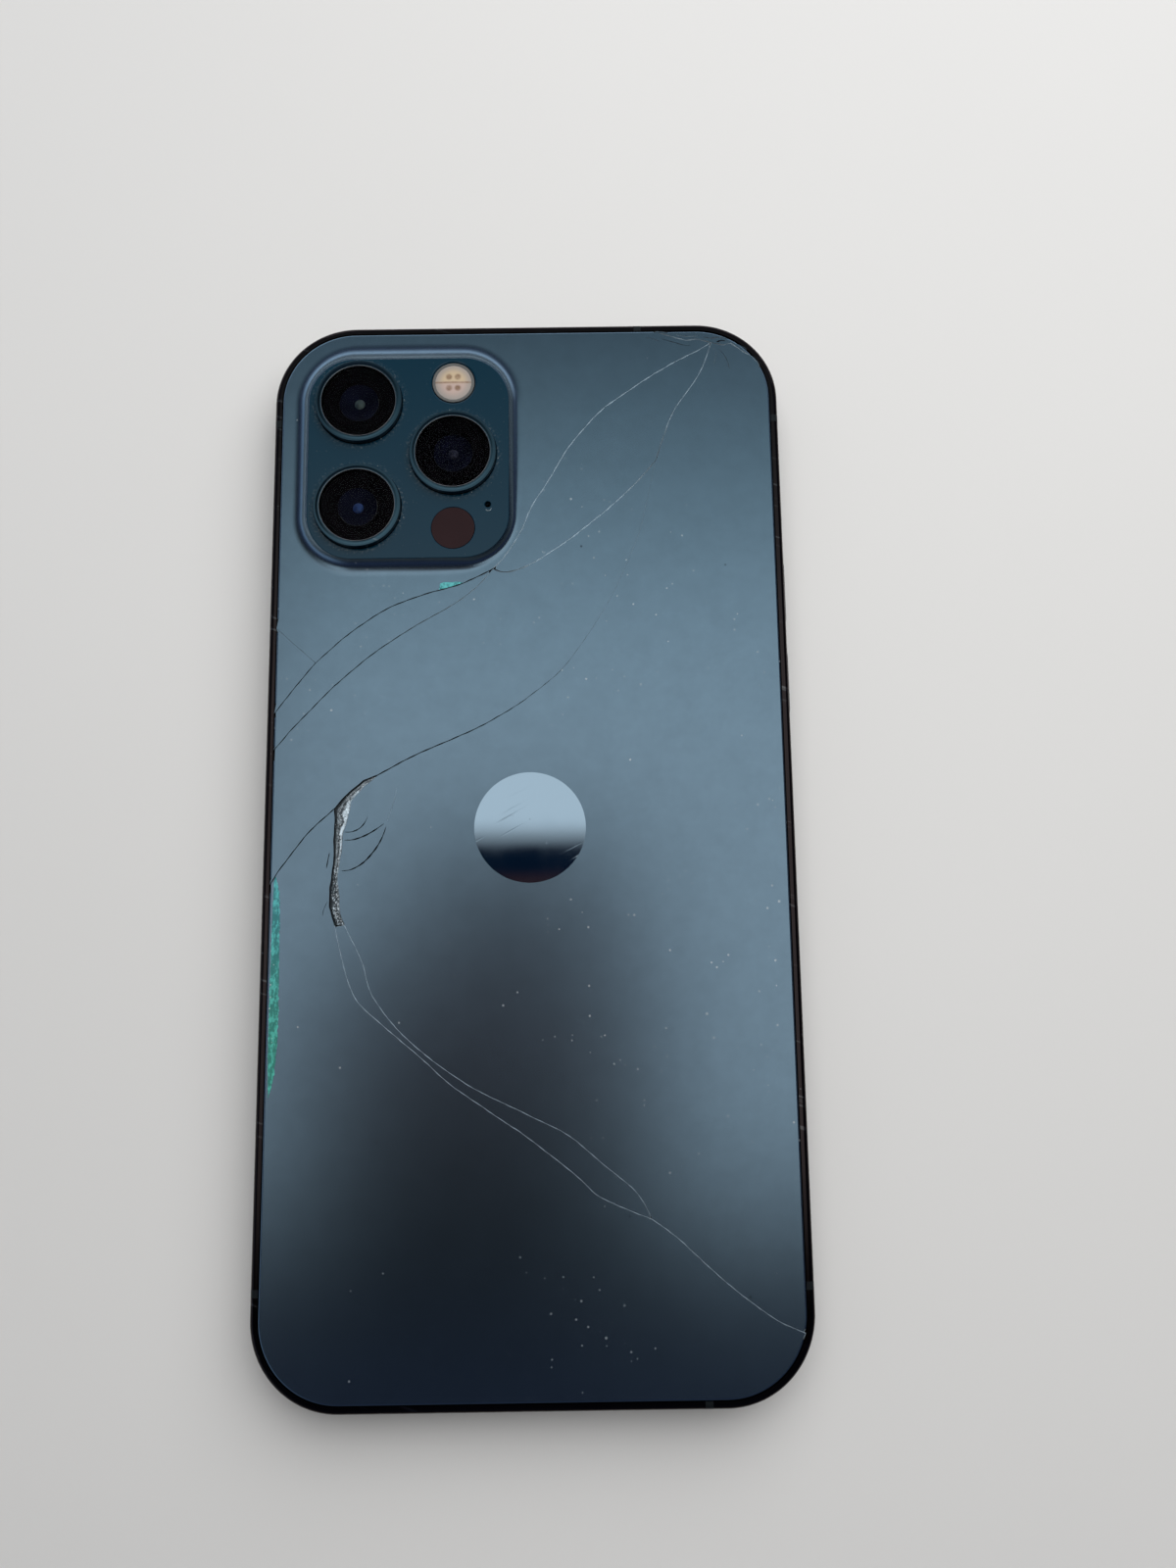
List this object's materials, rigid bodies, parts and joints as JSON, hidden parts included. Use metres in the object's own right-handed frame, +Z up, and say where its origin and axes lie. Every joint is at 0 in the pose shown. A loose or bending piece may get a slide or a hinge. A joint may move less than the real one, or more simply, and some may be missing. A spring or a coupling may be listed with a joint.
{
  "type": "smartphone with cracked rear glass",
  "caption": "Flat-sided smartphone lying on its screen, rear glass cracked into shards round a crushed strip, with raised camera plateau, side buttons and card tray.",
  "frame": {"origin": "centre of the screen glass, on the surface that the phone lies on", "axes": "+X to the right looking down on the back, +Y towards the camera end, +Z up out of the rear glass"},
  "size_m": [0.0722, 0.1466, 0.0094],
  "materials": {
    "band_steel": "polished steel, dark blue coating, fine scratches",
    "break_plastic": "dark moulded plastic",
    "rear_glass": "satin etched glass, blue behind, polished on the raised plateau",
    "crushed_glass": "crushed to pale crumbs",
    "film": "thin coloured film",
    "inner_steel": "plain sheet",
    "copper": "wound copper, lacquered",
    "magnet": "nickel plated",
    "ring_steel": "polished steel, dark blue coating",
    "lens_glass": "clear polished glass over black",
    "camera_black": "black moulded housing",
    "flash_glass": "clear glass over a pale light chip",
    "flash_board": "light chips on a pale board",
    "sensor_glass": "dark glass",
    "gilt_contact": "small plated can",
    "button_steel": "polished steel, dark blue coating",
    "flex_film": "amber film with steel dome",
    "card_plastic": "plain card plastic",
    "port_plastic": "black moulded plastic",
    "screw_steel": "small machined screws",
    "battery_foil": "black foil",
    "adhesive": "white stretch strips",
    "board": "green board with chips",
    "display": "unlit panel",
    "screen_glass": "clear polished glass over black"
  },
  "bodies": {
    "phone": {"band_left_rail": "band_steel", "band_right_rail": "band_steel", "band_top_left": "band_steel", "band_top_right": "band_steel", "band_bottom_left": "band_steel", "band_bottom_right": "band_steel", "antenna_breaks": "break_plastic", "rear_glass_camera_shard": "rear_glass", "rear_glass_edge_sliver": "rear_glass", "rear_glass_upper_sliver": "rear_glass", "rear_glass_left_wedge": "rear_glass", "rear_glass_middle_shard": "rear_glass", "rear_glass_right_shard": "rear_glass", "rear_glass_lower_shard": "rear_glass", "rear_glass_thin_sliver": "rear_glass", "rear_glass_corner_chip": "rear_glass", "rear_glass_crushed_strip": "crushed_glass", "colour_film": "film", "mid_plate": "inner_steel", "charging_coil": "copper", "magnet_ring": "magnet", "lens_ring_top": "ring_steel", "lens_ring_side": "ring_steel", "lens_ring_bottom": "ring_steel", "lens_cover_top": "lens_glass", "lens_cover_side": "lens_glass", "lens_cover_bottom": "lens_glass", "camera_top": "camera_black", "camera_side": "camera_black", "camera_bottom": "camera_black", "camera_bracket": "inner_steel", "flash_window": "flash_glass", "flash_module": "flash_board", "depth_sensor_window": "sensor_glass", "depth_sensor": "camera_black", "rear_microphone": "gilt_contact", "power_switch_flex": "flex_film", "volume_switch_flex": "flex_film", "card_reader": "inner_steel", "charging_port": "port_plastic", "bottom_screws": "screw_steel", "loudspeaker": "camera_black", "haptic_motor": "inner_steel", "battery": "battery_foil", "battery_adhesive": "adhesive", "logic_board": "board", "board_shield": "inner_steel", "inner_screws": "screw_steel", "earpiece_speaker": "camera_black", "front_sensors": "camera_black", "display_frame": "port_plastic", "display_panel": "display", "display_shield": "inner_steel", "front_glass": "screen_glass"},
    "power_button": {"power_button": "button_steel"},
    "volume_up_button": {"volume_up_button": "button_steel"},
    "volume_down_button": {"volume_down_button": "button_steel"},
    "mute_switch": {"mute_switch": "button_steel"},
    "card_tray": {"card_tray": "button_steel", "sim_card": "card_plastic"}
  },
  "joints": [
    {"name": "power_press", "type": "slide", "parent": "phone", "child": "power_button", "axis": [1, 0, 0], "range_m": [0, 0.0003], "stiffness_N_per_m": 3000, "springref_m": -0.0001},
    {"name": "volume_up_press", "type": "slide", "parent": "phone", "child": "volume_up_button", "axis": [-1, 0, 0], "range_m": [0, 0.0003], "stiffness_N_per_m": 3000, "springref_m": -0.0001},
    {"name": "volume_down_press", "type": "slide", "parent": "phone", "child": "volume_down_button", "axis": [-1, 0, 0], "range_m": [0, 0.0003], "stiffness_N_per_m": 3000, "springref_m": -0.0001},
    {"name": "mute_slide", "type": "slide", "parent": "phone", "child": "mute_switch", "axis": [0, 0, 1], "range_m": [0, 0.0014]},
    {"name": "card_tray_slide", "type": "slide", "parent": "phone", "child": "card_tray", "axis": [1, 0, 0], "range_m": [0, 0.01]}
  ]
}
